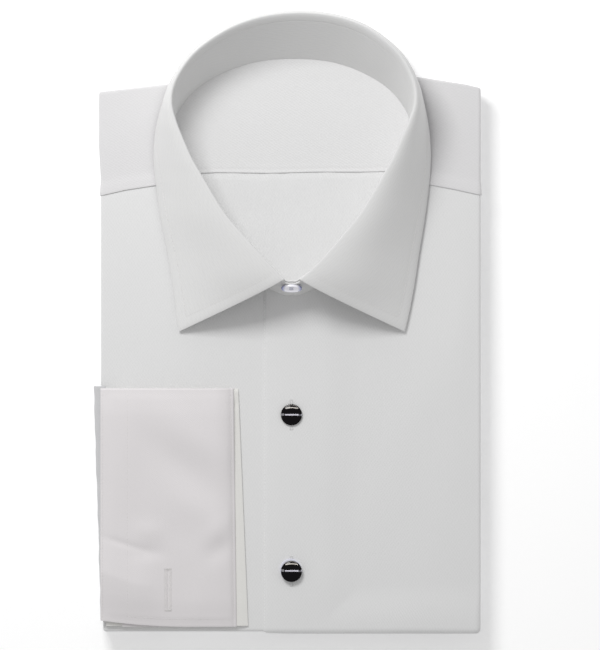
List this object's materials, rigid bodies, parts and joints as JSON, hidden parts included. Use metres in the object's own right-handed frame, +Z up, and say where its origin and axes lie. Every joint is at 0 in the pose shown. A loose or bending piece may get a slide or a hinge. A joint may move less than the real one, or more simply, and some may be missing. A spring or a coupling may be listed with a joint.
{
  "type": "long sleeve dress shirt, folded flat",
  "caption": "Folded long sleeve dress shirt with standing collar, lapped stud front and one double cuff laid over the front; rests flat on a surface.",
  "frame": {"origin": "centre of the folded body on its flat underside", "axes": "+X to the wearer's left across the fold, +Y from the hem to the collar, +Z up from the surface it lies on"},
  "size_m": [0.217, 0.3487, 0.047],
  "materials": {
    "body_cloth": "fine matt weave, tone on tone",
    "yoke_cloth": "same weave, grain turned across",
    "collar_cloth": "fused, fine upright ribs",
    "cuff_cloth": "fused, fine diagonal twill",
    "stud_black": "polished black",
    "button_white": "pale, slightly lilac"
  },
  "bodies": {
    "root": {"folded_layers": "body_cloth", "back_panel": "body_cloth", "inside_yoke": "yoke_cloth", "front_left": "body_cloth", "front_right": "body_cloth", "yoke": "yoke_cloth", "collar_band": "collar_cloth", "collar_leaf": "collar_cloth", "cuff_lower": "cuff_cloth", "cuff_turnback": "cuff_cloth", "sleeve_end": "body_cloth", "stud_upper": "stud_black", "stud_lower": "stud_black", "stud_disc": "button_white", "collar_button": "button_white"}
  },
  "joints": []
}
